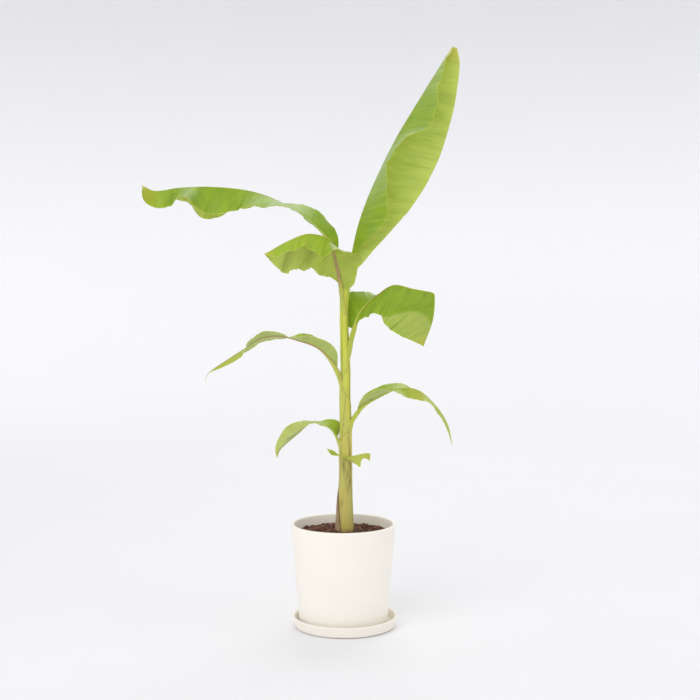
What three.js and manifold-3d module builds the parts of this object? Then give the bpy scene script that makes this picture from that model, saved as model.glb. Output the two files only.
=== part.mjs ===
// A young banana plant in a pale planter that stands in its saucer.
// Units are millimetres, +Z is up, and the front of the plant faces -Y.
// The origin is on the floor, under the middle of the planter.
import * as THREE from 'three';
import Module from 'manifold-3d';

// ---------------------------------------------------------------- driving dimensions

const saucer = {
  radius: 101.2, footRadius: 93, height: 22, floor: 6, wall: 4.5, offsetX: 2.8, segments: 48,
  footRound: [3, 1.2], rimRound: 1.6, edge: 0.8, innerSlope: 1.5, corner: 2,
};
const pot = {
  rimRadius: 100, baseRadius: 84.5, height: 200, wall: 5.7, floor: 9, segments: 48,
  footRound: 4, footEdge: 1, rimEdge: 0.8,
};
const gap = 0.3; // clearance kept between neighbouring pieces
const soil = { crown: 3.5, moundRadius: 34, shoulderRadius: 60, stemClearance: 0.5, segments: 36 };
const stem = {
  foot: 184,
  // height, middle in x, radius: a flared foot, then a slim and slightly swaying stem
  shape: [[184, 2.7, 18], [194, 2.7, 17.2], [210, 2.8, 15.9], [239, 3.4, 14], [267, 3.5, 12.8],
    [305, 4.2, 11.8], [349, 4.2, 11.4], [400, 3.7, 10.4], [438, 3.2, 9.9], [470, 3.6, 9.4],
    [495, 4, 9.1], [520, 3.2, 8.7], [552, 2.3, 8.3], [585, 1.3, 8.2], [622, 0.9, 8],
    [643, 0.8, 7.9], [656, 0.4, 6.9]],
  sides: 20,
};
const oldSheath = {
  foot: 184, top: 258, width: 15, narrowing: 0.75, thickness: 1.6, clearance: 0.6,
  middle: Math.PI + 0.25, levels: 5, steps: 4,
};
const blade = { thickness: 1.4, ribThickness: 2.6, steps: 4, sharpestMitre: 0.45, nudge: 0.004 };
const stalk = { sides: 10, rings: 11 };

// One entry for each leaf, oldest last.
// spine    points of the midrib, from a root inside the stem to the tip
// heading  compass direction of the leaf in degrees, counted from +X towards +Y
// bare     length of the spine that is stalk, without blade
// stalk    radii of the leaf stalk at its root and where the blade starts
// splits   shares of the blade at which it is parted, at its bends
// steps    how many rings the blade has
// right and left are the halves of the blade, seen along the leaf from its stalk.
//   A half has stations along the blade: angle above the flat leaf (at the rib, and at the
//   margin if it differs), width, and sweep, which is how far the veins run on to the tip.
//   A half that is crumpled has the points of its margin instead.
const leaves = [
  {
    name: 'leaf_1', heading: 0, bare: 95, stalk: [4.6, 4.2],
    splits: [0.5], steps: 24,
    spine: [[4, 1, 600], [7, 2, 644], [13, 4, 700], [29, 6, 774], [56, 8, 845], [97, 8, 929],
      [142, 6, 1004], [193, 2, 1086], [205, 0, 1103]],
    right: {
      angle: [[0, -20], [0.08, -34], [0.2, -31], [0.3, -17], [0.42, -4], [0.52, -12], [0.62, -29],
        [0.72, -24], [0.82, -14], [0.92, -8], [1, -20]],
      width: [[0, 3], [0.06, 22], [0.13, 70], [0.2, 84], [0.35, 84], [0.5, 90], [0.7, 78],
        [0.85, 50], [0.95, 22], [1, 4]],
      sweep: 0.25,
    },
    left: {
      angle: [[0, -100], [0.2, -100], [0.5, -95], [0.8, -95], [1, -90]],
      width: [[0, 24], [0.15, 66], [0.3, 87], [0.5, 91], [0.7, 72], [0.85, 48], [0.95, 27], [1, 9]],
      sweep: 0.25,
    },
  },
  {
    name: 'leaf_2', heading: 180, bare: 114, stalk: [4.4, 4],
    splits: [0.32, 0.68], steps: 26,
    spine: [[1, 4, 600], [-2, 6, 644], [-16, 14, 713], [-33, 18, 747], [-62, 20, 778],
      [-99, 20, 804], [-166, 16, 832], [-245, 10, 842], [-310, 4, 840], [-355, 0, 834],
      [-377, -2, 843]],
    right: {
      angle: [[0, 60, 52], [0.1, 52, 46], [0.2, 34, 28], [0.3, 6, 0], [0.4, -20, -30],
        [0.55, -40, -50], [0.66, -75, -85], [0.78, -34, -34], [1, -20, -20]],
      width: [[0, 6], [0.06, 24], [0.15, 36], [0.3, 52], [0.55, 60], [0.68, 62], [0.75, 52],
        [0.9, 30], [1, 4]],
      sweep: 0.25,
    },
    left: {
      angle: [[0, 0, 0], [0.15, -5, -5], [0.28, -4, -6], [0.4, -20, -28], [0.5, -34, -44],
        [0.6, -50, -66], [0.68, -56, -74], [0.78, -24, -20], [0.87, -50, -60],
        [0.94, -60, -70], [1, -40, 60]],
      width: [[0, 3], [0.06, 14], [0.15, 30], [0.3, 52], [0.55, 60], [0.75, 52], [0.9, 37],
        [0.97, 26], [1, 12]],
      sweep: 0.25,
    },
  },
  {
    name: 'leaf_3', heading: 232, bare: 52, stalk: [4.8, 4.4],
    splits: [0.34], steps: 24,
    spine: [[1, -3, 600], [-3, -6, 644], [-9, -16, 679], [-18, -34, 719], [-21, -55, 736],
      [-36, -82, 748], [-66, -122, 752], [-98, -166, 739], [-134, -220, 718]],
    right: {
      margin: [[0, -8, -10, 660], [0.06, -20, -13, 669], [0.12, -31, -16, 674], [0.2, -44, -24, 675],
        [0.3, -59, -38, 689], [0.4, -75, -56, 685], [0.5, -89, -80, 689],
        [0.6, -97, -108, 685], [0.7, -106, -136, 681], [0.85, -126, -182, 701],
        [1, -138, -216, 717]],
    },
    left: {
      margin: [[0, 9, -12, 648], [0.05, 20, -19, 659], [0.08, 24, -25, 672], [0.13, 28, -34, 690],
        [0.16, 36, -42, 699], [0.19, 33, -50, 711], [0.25, 14, -62, 719], [0.31, -3, -76, 723],
        [0.35, -18, -90, 722], [0.4, -39, -106, 710], [0.5, -57, -124, 723],
        [0.6, -70, -140, 731], [0.7, -84, -162, 723], [0.8, -99, -184, 721],
        [0.9, -118, -202, 711], [1, -136, -218, 716]],
    },
  },
  {
    name: 'leaf_4', heading: 0, bare: 76, stalk: [6.4, 5],
    splits: [0.36, 0.66], steps: 26,
    spine: [[3, 0, 500], [7, 0, 515], [10.5, -0.5, 530], [13, -1, 548], [16.5, -2, 565],
      [28, -4.5, 599], [44.8, -7, 621], [60, -10, 635], [94, -15, 657], [133, -22, 650],
      [165, -28, 641], [172, -31, 629], [168, -34, 592], [150, -38, 542]],
    right: {
      margin: [[0, 23, -6, 578], [0.1, 31, -14, 590], [0.2, 43, -22, 597], [0.3, 54, -32, 603],
        [0.4, 69, -44, 602], [0.5, 75, -52, 589], [0.6, 83, -56, 579], [0.7, 94, -56, 571],
        [0.8, 109, -54, 562], [0.9, 128, -48, 554], [1, 148, -39, 544]],
    },
    left: {
      margin: [[0, 15, 8, 594], [0.05, 6, 18, 622], [0.12, 8, 27, 641], [0.2, 38, 30, 643],
        [0.3, 66, 28, 633], [0.4, 85, 18, 616], [0.5, 100, 6, 601], [0.6, 115, -4, 594],
        [0.7, 126, -12, 591], [0.8, 133, -18, 582], [0.9, 139, -28, 565], [1, 148, -36, 544]],
    },
  },
  {
    name: 'leaf_5', heading: 180, bare: 50, stalk: [6.4, 4.8],
    splits: [0.35], steps: 22,
    spine: [[-1, 0, 452], [-2.5, 0, 469], [-6, -1, 483], [-11, -2, 495], [-23.5, -3.5, 514],
      [-44, -5, 535], [-60, -6.5, 544], [-78, -8, 550], [-105, -10, 558], [-129, -12, 561],
      [-159, -14, 555], [-195, -16, 532], [-220, -18, 516], [-248, -20, 497], [-258, -21, 487],
      [-261, -22, 476]],
    right: {
      angle: [[0, 30], [0.1, 30], [0.2, 38], [0.26, 36], [0.33, 0], [0.42, -20], [1, -20]],
      width: [[0, 4], [0.08, 18], [0.25, 25], [0.5, 25], [0.7, 19], [0.85, 10], [0.93, 2.5],
        [1, 1.5]],
      sweep: 0.25,
    },
    left: {
      angle: [[0, 50], [0.06, 60], [0.14, 50], [0.22, 38], [0.29, 20], [0.35, 8], [0.43, 20],
        [0.52, 28], [0.62, 10], [0.7, -30], [0.8, -38], [1, -40]],
      width: [[0, 4], [0.07, 24], [0.2, 26], [0.5, 25], [0.7, 19], [0.85, 11], [0.93, 2.5], [1, 1.5]],
      sweep: 0.25,
    },
  },
  {
    name: 'leaf_6', heading: 0, bare: 54, stalk: [6, 4.4],
    splits: [0.46], steps: 22,
    spine: [[8, 0, 368], [12.4, 0, 385], [15.5, -0.5, 398], [21.4, -1, 408], [27.7, -2, 417],
      [36.4, -3, 426], [49, -5, 434.5], [62, -6.5, 441], [79, -8, 450], [96, -10, 458],
      [115, -12, 462], [132, -13, 461], [149, -14, 454], [170, -16, 435], [187, -17, 414],
      [200, -18, 388], [207, -18, 353]],
    right: {
      angle: [[0, 45], [0.1, 40], [0.2, 36], [0.28, 10], [0.36, -35], [0.44, -50], [0.52, -40],
        [0.6, -16], [0.7, -22], [0.85, -30], [1, -30]],
      width: [[0, 3], [0.08, 22], [0.2, 26], [0.45, 24], [0.65, 19], [0.8, 13], [0.92, 6], [1, 1.5]],
      sweep: 0.25,
    },
    left: {
      angle: [[0, 50], [0.1, 44], [0.2, 36], [0.3, 20], [0.4, 0], [0.5, -22], [0.6, -16], [0.8, -20],
        [1, -30]],
      width: [[0, 3], [0.08, 20], [0.2, 26], [0.45, 24], [0.65, 19], [0.8, 13], [0.92, 6], [1, 1.5]],
      sweep: 0.25,
    },
  },
  {
    name: 'leaf_7', heading: 180, bare: 39, stalk: [5, 3.4],
    splits: [0.34], steps: 20,
    spine: [[-2, 0, 330], [-5.5, 0, 347], [-9, -0.5, 360], [-14, -2, 371], [-20, -3, 380],
      [-30, -5, 388], [-43, -7, 393], [-56, -9, 396], [-68, -11, 392], [-83, -12, 378],
      [-98, -13, 365], [-111, -14, 354], [-121, -15, 343], [-126, -15, 329]],
    right: {
      angle: [[0, 36], [0.08, 44], [0.16, 32], [0.24, 10], [0.33, 1], [0.45, 26], [0.57, 50],
        [0.78, 54], [1, 60]],
      width: [[0, 8], [0.06, 24], [0.14, 22], [0.22, 17], [0.32, 15], [0.45, 24], [0.57, 29],
        [0.72, 25], [0.9, 11], [1, 1.5]],
      sweep: 0.2,
    },
    left: {
      angle: [[0, 0], [0.35, 0], [0.57, 18], [0.78, 16], [1, 14]],
      width: [[0, 4], [0.08, 12], [0.25, 18], [0.4, 22], [0.57, 28], [0.72, 25], [0.9, 11], [1, 1.5]],
      sweep: 0.25,
    },
  },
  {
    name: 'leaf_8', heading: 0, bare: 1, stalk: null,
    splits: [], steps: 14,
    spine: [[-31, -15, 346], [-20, -17, 340], [-9, -18, 334], [13, -18, 329], [28, -22, 334],
      [43, -25, 339], [50, -22, 335]],
    right: {
      angle: [[0, -60], [0.15, -40], [0.3, -10], [0.5, -20], [0.62, -68], [0.85, -72], [1, -84]],
      width: [[0, 1.5], [0.15, 8], [0.3, 4], [0.5, 6], [0.6, 12], [0.69, 22], [0.77, 11], [0.87, 8],
        [1, 13]],
      sweep: 0,
    },
    left: {
      angle: [[0, 30], [0.35, 20], [0.6, 60], [1, 20]],
      width: [[0, 1.5], [0.15, 5], [0.3, 2], [0.5, 6], [0.62, 7], [0.8, 5], [1, 3]],
      sweep: 0,
    },
  },
];

// ---------------------------------------------------------------- materials

const glaze = new THREE.MeshStandardMaterial({ color: 0xf4efe2, roughness: 0.6, metalness: 0 });
const earth = new THREE.MeshStandardMaterial({ color: 0x5b3a2b, roughness: 0.95, metalness: 0 });
const limeGreen = new THREE.MeshStandardMaterial({ color: 0xc0bd4c, roughness: 0.5, metalness: 0 });
const leafGreen = new THREE.MeshStandardMaterial({ color: 0x93ae34, roughness: 0.45, metalness: 0 });
const dryBrown = new THREE.MeshStandardMaterial({ color: 0x8a5f3c, roughness: 0.85, metalness: 0 });

const plant = new THREE.Group();

function addMesh(name, geometry, material) {
  const mesh = new THREE.Mesh(geometry, material);
  mesh.name = name;
  plant.add(mesh);
  return mesh;
}

// ---------------------------------------------------------------- curves through stations

// Smooth values through stations [place, value, ...]: a Hermite curve with chord slopes.
function through(stations, place) {
  const last = stations.length - 1;
  const x = THREE.MathUtils.clamp(place, stations[0][0], stations[last][0]);
  let k = 0;
  while (k < last - 1 && x >= stations[k + 1][0]) k += 1;
  const slope = (i, c) => {
    const before = stations[Math.max(i - 1, 0)];
    const after = stations[Math.min(i + 1, last)];
    return (after[c] - before[c]) / (after[0] - before[0]);
  };
  const from = stations[k];
  const to = stations[k + 1];
  const step = to[0] - from[0];
  const t = (x - from[0]) / step;
  const values = [];
  for (let c = 1; c < from.length; c += 1) {
    const start = (2 * t ** 3 - 3 * t ** 2 + 1) * from[c] + (t ** 3 - 2 * t ** 2 + t) * step * slope(k, c);
    const end = (3 * t ** 2 - 2 * t ** 3) * to[c] + (t ** 3 - t ** 2) * step * slope(k + 1, c);
    values.push(start + end);
  }
  return values;
}

// The spine of a leaf, sampled evenly along its length.
function spineOf(leaf) {
  const points = leaf.spine.map((p) => new THREE.Vector3(...p));
  const stations = [[0, ...leaf.spine[0]]];
  let chord = 0;
  for (let i = 1; i < points.length; i += 1) {
    chord += points[i].distanceTo(points[i - 1]);
    stations.push([chord, ...leaf.spine[i]]);
  }
  const samples = 400;
  const curve = [];
  const lengths = [0];
  for (let i = 0; i <= samples; i += 1) {
    curve.push(new THREE.Vector3(...through(stations, (chord * i) / samples)));
    if (i > 0) lengths.push(lengths[i - 1] + curve[i].distanceTo(curve[i - 1]));
  }
  return { curve, lengths, length: lengths[samples], samples };
}

// Point and directions of the spine at a share of its length: along the leaf, to its right
// side, and up out of its upper face.
function frameAt(leaf, spine, share) {
  const target = THREE.MathUtils.clamp(share, 0, 1) * spine.length;
  let i = 1;
  while (i < spine.samples && spine.lengths[i] < target) i += 1;
  const rest = (target - spine.lengths[i - 1]) / (spine.lengths[i] - spine.lengths[i - 1]);
  const point = spine.curve[i - 1].clone().lerp(spine.curve[i], rest);
  const reach = 4;
  const ahead = spine.curve[Math.min(i + reach, spine.samples)];
  const behind = spine.curve[Math.max(i - 1 - reach, 0)];
  const along = ahead.clone().sub(behind).normalize();
  const heading = THREE.MathUtils.degToRad(leaf.heading);
  const side = new THREE.Vector3(Math.sin(heading), -Math.cos(heading), 0);
  side.addScaledVector(along, -side.dot(along)).normalize();
  const up = side.clone().cross(along);
  return { point, along, side, up };
}

// ---------------------------------------------------------------- lofted solids

// A closed body through rings of equal size. A ring runs along the upper side and back
// along the lower one, so its two halves also close the ends.
function loft(rings) {
  const size = rings[0].length;
  const positions = [];
  rings.forEach((ring) => ring.forEach((p) => positions.push(p.x, p.y, p.z)));
  const index = [];
  for (let r = 0; r + 1 < rings.length; r += 1) {
    for (let i = 0; i < size; i += 1) {
      const a = r * size + i;
      const b = r * size + ((i + 1) % size);
      index.push(a, b, b + size, a, b + size, a + size);
    }
  }
  const lastRing = (rings.length - 1) * size;
  for (let i = 0; i < size / 2 - 1; i += 1) {
    const j = size - 1 - i;
    index.push(i, j, j - 1, i, j - 1, i + 1);
    index.push(lastRing + i, lastRing + j - 1, lastRing + j);
    index.push(lastRing + i, lastRing + i + 1, lastRing + j - 1);
  }
  const geometry = new THREE.BufferGeometry();
  geometry.setAttribute('position', new THREE.Float32BufferAttribute(positions, 3));
  geometry.setIndex(volumeOf(positions, index) < 0 ? index.reverse() : index);
  geometry.computeVertexNormals();
  return geometry;
}

function volumeOf(positions, index) {
  const corner = (i) => new THREE.Vector3().fromArray(positions, 3 * i);
  let volume = 0;
  for (let i = 0; i < index.length; i += 3) {
    volume += corner(index[i]).dot(corner(index[i + 1]).cross(corner(index[i + 2]))) / 6;
  }
  return volume;
}

function circle(middle, radius, sides, right, back) {
  const ring = [];
  for (let i = 0; i < sides; i += 1) {
    const turn = (2 * Math.PI * i) / sides;
    const point = middle.clone().addScaledVector(right, radius * Math.cos(turn));
    ring.push(point.addScaledVector(back, radius * Math.sin(turn)));
  }
  return ring;
}

// ---------------------------------------------------------------- leaves

// Points of one half of a blade at one place, from the rib out to the margin.
function halfRow(leaf, half, sign, spine, place) {
  const start = leaf.bare / spine.length;
  const frame = frameAt(leaf, spine, start + (1 - start) * place);
  const row = [frame.point.clone()];
  if (half.margin) {
    const margin = new THREE.Vector3(...through(half.margin, place));
    for (let i = 1; i <= blade.steps; i += 1) {
      row.push(frame.point.clone().lerp(margin, i / blade.steps));
    }
    return row;
  }
  const angles = through(half.angle, place);
  const [width] = through(half.width, place);
  for (let i = 0; i < blade.steps; i += 1) {
    const share = (i + 0.5) / blade.steps;
    const bent = angles.length > 1 ? angles[0] + (angles[1] - angles[0]) * share : angles[0];
    const angle = THREE.MathUtils.degToRad(bent);
    const step = width / blade.steps;
    const next = row[i].clone().addScaledVector(frame.side, sign * Math.cos(angle) * step);
    next.addScaledVector(frame.up, Math.sin(angle) * step);
    row.push(next.addScaledVector(frame.along, half.sweep * step));
  }
  return row;
}

// Upward normals of one half at one place, from its neighbours along the leaf and across it.
function halfNormals(before, row, after, sign) {
  return row.map((point, i) => {
    const outer = row[Math.min(i + 1, row.length - 1)];
    const inner = row[Math.max(Math.min(i, row.length - 2), 0)];
    const across = outer.clone().sub(inner).multiplyScalar(sign);
    const along = after[i].clone().sub(before[i]);
    return across.cross(along).normalize();
  });
}

// The ring of a blade at one place: its upper face from left margin to right margin, then
// its lower face back again. The rib is the thick middle, and extra is added to each face.
function bladeRing(leaf, spine, place, extra = 0) {
  const { nudge } = blade;
  const halves = [[leaf.left, -1], [leaf.right, 1]].map(([half, sign]) => {
    const before = halfRow(leaf, half, sign, spine, place - nudge);
    const row = halfRow(leaf, half, sign, spine, place);
    const after = halfRow(leaf, half, sign, spine, place + nudge);
    return { row, normals: halfNormals(before, row, after, sign) };
  });
  const [left, right] = halves;
  const middle = left.normals[0].clone().add(right.normals[0]).normalize();
  const mitre = 1 / Math.max(blade.sharpestMitre, middle.dot(right.normals[0]));
  const upper = [];
  const lower = [];
  const put = (point, normal, thickness) => {
    upper.push(point.clone().addScaledVector(normal, thickness / 2 + extra));
    lower.unshift(point.clone().addScaledVector(normal, -thickness / 2 - extra));
  };
  for (let i = blade.steps; i > 0; i -= 1) put(left.row[i], left.normals[i], blade.thickness);
  put(left.row[0], middle, blade.ribThickness * mitre);
  for (let i = 1; i <= blade.steps; i += 1) put(right.row[i], right.normals[i], blade.thickness);
  return upper.concat(lower);
}

function bladeBody(leaf, spine, from, to, extra) {
  const count = Math.max(3, Math.round(leaf.steps * (to - from)));
  const rings = [];
  for (let i = 0; i <= count; i += 1) {
    rings.push(bladeRing(leaf, spine, from + ((to - from) * i) / count, extra));
  }
  return loft(rings);
}

function addBlade(leaf, spine) {
  const ends = [0, ...leaf.splits, 1];
  const shareGap = gap / 2 / (spine.length - leaf.bare);
  const names = ends.length === 2 ? ['blade'] : ['blade_inner', 'blade_middle', 'blade_outer'];
  if (ends.length === 3) names.splice(1, 1);
  for (let part = 0; part + 1 < ends.length; part += 1) {
    const from = ends[part] + (part === 0 ? 2 : 1) * shareGap;
    const to = ends[part + 1] - shareGap;
    addMesh(`${leaf.name}_${names[part]}`, bladeBody(leaf, spine, from, to, 0), leafGreen);
  }
}

// ---------------------------------------------------------------- pseudostem

const right = new THREE.Vector3(1, 0, 0);
const back = new THREE.Vector3(0, 1, 0);

function stemBody(extra) {
  const rings = stem.shape.map(([height, x, radius]) => {
    const middle = new THREE.Vector3(x, 0, height);
    return circle(middle, radius + extra, stem.sides, right, back);
  });
  const top = rings[rings.length - 1];
  top.forEach((point) => point.setZ(point.z + extra));
  return loft(rings);
}

addMesh('pseudostem', stemBody(0), limeGreen);

// ---------------------------------------------------------------- leaf stalks

const wasm = await Module();
wasm.setup();

function solidOf(geometry) {
  const vertProperties = new Float32Array(geometry.attributes.position.array);
  const triVerts = new Uint32Array(geometry.index.array);
  return new wasm.Manifold(new wasm.Mesh({ numProp: 3, vertProperties, triVerts }));
}

// The largest single body of a solid, as a geometry.
function mainBody(solid) {
  const bodies = solid.decompose();
  bodies.sort((a, b) => b.volume() - a.volume());
  const { vertProperties, triVerts } = bodies[0].getMesh();
  const geometry = new THREE.BufferGeometry();
  geometry.setAttribute('position', new THREE.Float32BufferAttribute(vertProperties, 3));
  geometry.setIndex(Array.from(triVerts));
  geometry.computeVertexNormals();
  return geometry;
}

function stalkBody(leaf, spine, extra) {
  const [root, neck] = leaf.stalk;
  const rings = [];
  for (let i = 0; i <= stalk.rings; i += 1) {
    const share = i / stalk.rings;
    const frame = frameAt(leaf, spine, ((leaf.bare - gap) / spine.length) * share);
    const radius = root + (neck - root) * share + extra;
    rings.push(circle(frame.point, radius, stalk.sides, frame.side, frame.up));
  }
  return loft(rings);
}

// Each stalk gives way to the stem, to its own blade and to the stalks of younger leaves.
const taken = [solidOf(stemBody(gap))];
leaves.forEach((leaf) => {
  const spine = spineOf(leaf);
  addBlade(leaf, spine);
  if (!leaf.stalk) return;
  let body = solidOf(stalkBody(leaf, spine, 0));
  body = body.subtract(solidOf(bladeBody(leaf, spine, 0, leaf.splits[0], gap)));
  taken.forEach((other) => {
    body = body.subtract(other);
  });
  taken.push(solidOf(stalkBody(leaf, spine, gap)));
  addMesh(`${leaf.name}_petiole`, mainBody(body), limeGreen);
});

// ---------------------------------------------------------------- dry old sheath

// The dry old sheath: a narrow curved scale against the left of the stem's foot.
function sheathRing(share) {
  const height = THREE.MathUtils.lerp(oldSheath.foot, oldSheath.top, share);
  const [x, radius] = through(stem.shape, height);
  const inner = radius + oldSheath.clearance;
  const reach = (oldSheath.width * (1 - oldSheath.narrowing * share)) / inner;
  const { steps } = oldSheath;
  const upper = [];
  const lower = [];
  for (let i = 0; i <= steps; i += 1) {
    const turn = oldSheath.middle + reach * ((2 * i) / steps - 1);
    const direction = new THREE.Vector3(Math.cos(turn), Math.sin(turn), 0);
    const base = new THREE.Vector3(x, 0, height);
    upper.push(base.clone().addScaledVector(direction, inner + oldSheath.thickness));
    lower.unshift(base.clone().addScaledVector(direction, inner));
  }
  return upper.concat(lower);
}

const sheathRings = [];
for (let i = 0; i <= oldSheath.levels; i += 1) sheathRings.push(sheathRing(i / oldSheath.levels));
addMesh('old_sheath', loft(sheathRings), dryBrown);

// ---------------------------------------------------------------- soil, planter and saucer

function lathe(profile, segments) {
  const geometry = new THREE.LatheGeometry(profile.map(([r, z]) => new THREE.Vector2(r, z)), segments);
  return geometry.rotateX(Math.PI / 2);
}

const potFoot = saucer.floor + gap;
const potTop = potFoot + pot.height - saucer.floor;
const flare = (pot.rimRadius - pot.baseRadius) / (potTop - potFoot);
const outerAt = (z) => pot.baseRadius + flare * (z - potFoot);
const innerAt = (z) => outerAt(z) - pot.wall;
const soilFoot = potFoot + pot.floor + gap;
const lip = pot.wall / 2;

addMesh('pot', lathe([
  [0, potFoot],
  [outerAt(potFoot) - pot.footRound, potFoot],
  [outerAt(potFoot) - pot.footEdge, potFoot + pot.footEdge],
  [outerAt(potFoot + pot.footRound), potFoot + pot.footRound],
  [outerAt(potTop - lip), potTop - lip],
  [outerAt(potTop) - pot.rimEdge, potTop - pot.rimEdge],
  [outerAt(potTop) - lip, potTop],
  [innerAt(potTop) + pot.rimEdge, potTop - pot.rimEdge],
  [innerAt(potTop - lip), potTop - lip],
  [innerAt(soilFoot), potFoot + pot.floor],
  [0, potFoot + pot.floor],
], pot.segments), glaze);

const soilTop = stem.foot - soil.stemClearance;
const soilEdge = soilTop - soil.crown;
addMesh('soil', lathe([
  [0, soilFoot],
  [innerAt(soilFoot) - 2 * gap, soilFoot],
  [innerAt(soilEdge) - 2 * gap, soilEdge],
  [soil.shoulderRadius, soilTop - soil.crown * 0.6],
  [soil.moundRadius, soilTop],
  [0, soilTop],
], soil.segments), earth);

const [footOut, footUp] = saucer.footRound;
const rimLevel = saucer.height - saucer.rimRound;
const saucerInside = saucer.radius - saucer.wall;
const saucerMesh = addMesh('saucer', lathe([
  [0, 0],
  [saucer.footRadius, 0],
  [saucer.footRadius + footOut, footUp],
  [saucer.radius - saucer.edge, saucer.height * 0.45],
  [saucer.radius, rimLevel],
  [saucer.radius - saucer.wall * 0.4, saucer.height],
  [saucerInside, rimLevel],
  [saucerInside - saucer.innerSlope, saucer.height / 2],
  [saucer.footRadius - saucer.corner, saucer.floor],
  [0, saucer.floor],
], saucer.segments), glaze);
saucerMesh.position.x = saucer.offsetX;

export default plant;
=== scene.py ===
# The look of a young banana plant in a pale planter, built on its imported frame.
import math

import bpy
import numpy as np
from mathutils import Matrix, Vector


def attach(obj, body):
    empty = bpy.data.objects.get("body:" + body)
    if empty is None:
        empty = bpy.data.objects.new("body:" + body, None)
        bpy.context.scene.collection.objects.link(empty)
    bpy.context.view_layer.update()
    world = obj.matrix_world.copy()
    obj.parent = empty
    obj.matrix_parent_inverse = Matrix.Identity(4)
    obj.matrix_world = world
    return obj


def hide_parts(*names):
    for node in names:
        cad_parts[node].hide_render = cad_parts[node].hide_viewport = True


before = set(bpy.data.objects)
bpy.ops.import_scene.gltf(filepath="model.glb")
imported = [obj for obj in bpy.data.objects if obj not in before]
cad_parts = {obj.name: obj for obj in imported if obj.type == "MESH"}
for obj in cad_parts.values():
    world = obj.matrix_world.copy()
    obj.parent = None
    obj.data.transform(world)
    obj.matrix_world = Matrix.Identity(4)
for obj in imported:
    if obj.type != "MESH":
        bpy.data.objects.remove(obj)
scene = bpy.context.scene
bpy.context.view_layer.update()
MM = 0.001

# ------------ the leaves, in millimetres
# heading: direction in degrees from +X. spine: points of the midrib, from a root in the stem to the tip.
# bare: length of the spine that is stalk, without blade. grid: rows along the blade, columns in a half.
# pleats: height and length of the folds along the side veins, and their seed. wave: height and length of
# the margin's waves. rib, stalk, clasp: half widths of the midrib and the stalk, and what the stalk gains
# at its foot. creases: place, lean, height and width of sharp folds in the right half; a faded leaf is
# paler past the first. Stations along a half give its angle above the flat leaf, at the rib and at the
# margin, its width, and its sweep, or else the points of its margin.
LEAVES = {}
LEAVES[1] = dict(
    heading=0, bare=95, grid=(300, 44), pleats=(1, 15, 11), wave=(2, 62), rib=3.2, stalk=4.8, clasp=1.5,
    spine=[[4, 1, 600], [7, 2, 644], [13, 4, 700], [29, 6, 774], [56, 8, 845], [97, 8, 929], [142, 6, 1004],
           [193, 2, 1086], [205, 0, 1103]],
    right=dict(
        angle={0: -20, 0.08: -34, 0.2: -31, 0.3: -17, 0.42: -4, 0.52: -12, 0.62: -29, 0.72: -24, 0.82: -14,
               0.92: -8, 1: -20},
        width={0: 3, 0.06: 22, 0.13: 70, 0.2: 84, 0.35: 84, 0.5: 90, 0.7: 78, 0.85: 50, 0.95: 22, 1: 4}),
    left=dict(
        angle={0: -100, 0.2: -100, 0.5: -95, 0.8: -95, 1: -90},
        width={0: 24, 0.15: 66, 0.3: 87, 0.5: 91, 0.7: 72, 0.85: 48, 0.95: 27, 1: 9}))
LEAVES[2] = dict(
    heading=180, bare=114, grid=(260, 40), pleats=(0.8, 13, 23), wave=(2, 48), rib=3, stalk=4.6, clasp=1.5,
    spine=[[1, 4, 600], [-2, 6, 644], [-16, 14, 713], [-33, 18, 747], [-62, 20, 778], [-99, 20, 804],
           [-166, 16, 832], [-245, 10, 842], [-310, 4, 840], [-355, 0, 834], [-377, -2, 843]],
    right=dict(
        angle={0: (60, 52), 0.1: (52, 46), 0.2: (34, 28), 0.3: (6, 0), 0.4: (-20, -30), 0.55: (-40, -50),
               0.66: (-75, -85), 0.78: (-34, -34), 1: (-20, -20)},
        width={0: 6, 0.06: 24, 0.15: 36, 0.3: 52, 0.55: 60, 0.68: 62, 0.75: 52, 0.9: 30, 1: 4}),
    left=dict(
        angle={0: (0, 0), 0.15: (-5, -5), 0.28: (-4, -6), 0.4: (-20, -28), 0.5: (-34, -44), 0.6: (-50, -66),
               0.68: (-56, -74), 0.78: (-24, -20), 0.87: (-50, -60), 0.94: (-60, -70), 1: (-40, 60)},
        width={0: 3, 0.06: 14, 0.15: 30, 0.3: 52, 0.55: 60, 0.75: 52, 0.9: 37, 0.97: 26, 1: 12}))
LEAVES[3] = dict(
    heading=232, bare=52, grid=(240, 44), pleats=(2.6, 27, 31), wave=(2, 40), rib=3.6, stalk=5, clasp=1.5,
    crumple=True, creases=[(0.3, -0.12, -5, 0.06), (0.41, -0.1, 8, 0.07), (0.55, -0.06, -7, 0.07),
                           (0.69, 0, 8, 0.08), (0.84, 0.05, -5, 0.07)],
    spine=[[1, -3, 600], [-3, -6, 644], [-9, -16, 679], [-18, -34, 719], [-21, -55, 736], [-36, -82, 748],
           [-66, -122, 752], [-98, -166, 739], [-134, -220, 718]],
    right=dict(
        margin={0: (-8, -10, 660), 0.06: (-20, -13, 669), 0.12: (-31, -16, 674), 0.2: (-44, -24, 675),
                0.3: (-59, -38, 689), 0.4: (-75, -56, 685), 0.5: (-89, -80, 689), 0.6: (-97, -108, 685),
                0.7: (-106, -136, 681), 0.85: (-126, -182, 701), 1: (-138, -216, 717)}),
    left=dict(
        margin={0: (9, -12, 648), 0.05: (20, -19, 659), 0.08: (24, -25, 672), 0.13: (28, -34, 690),
                0.16: (36, -42, 699), 0.19: (33, -50, 711), 0.25: (14, -62, 719), 0.31: (-3, -76, 723),
                0.35: (-18, -90, 722), 0.4: (-39, -106, 710), 0.5: (-57, -124, 723), 0.6: (-70, -140, 731),
                0.7: (-84, -162, 723), 0.8: (-99, -184, 721), 0.9: (-118, -202, 711),
                1: (-136, -218, 716)}))
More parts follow.
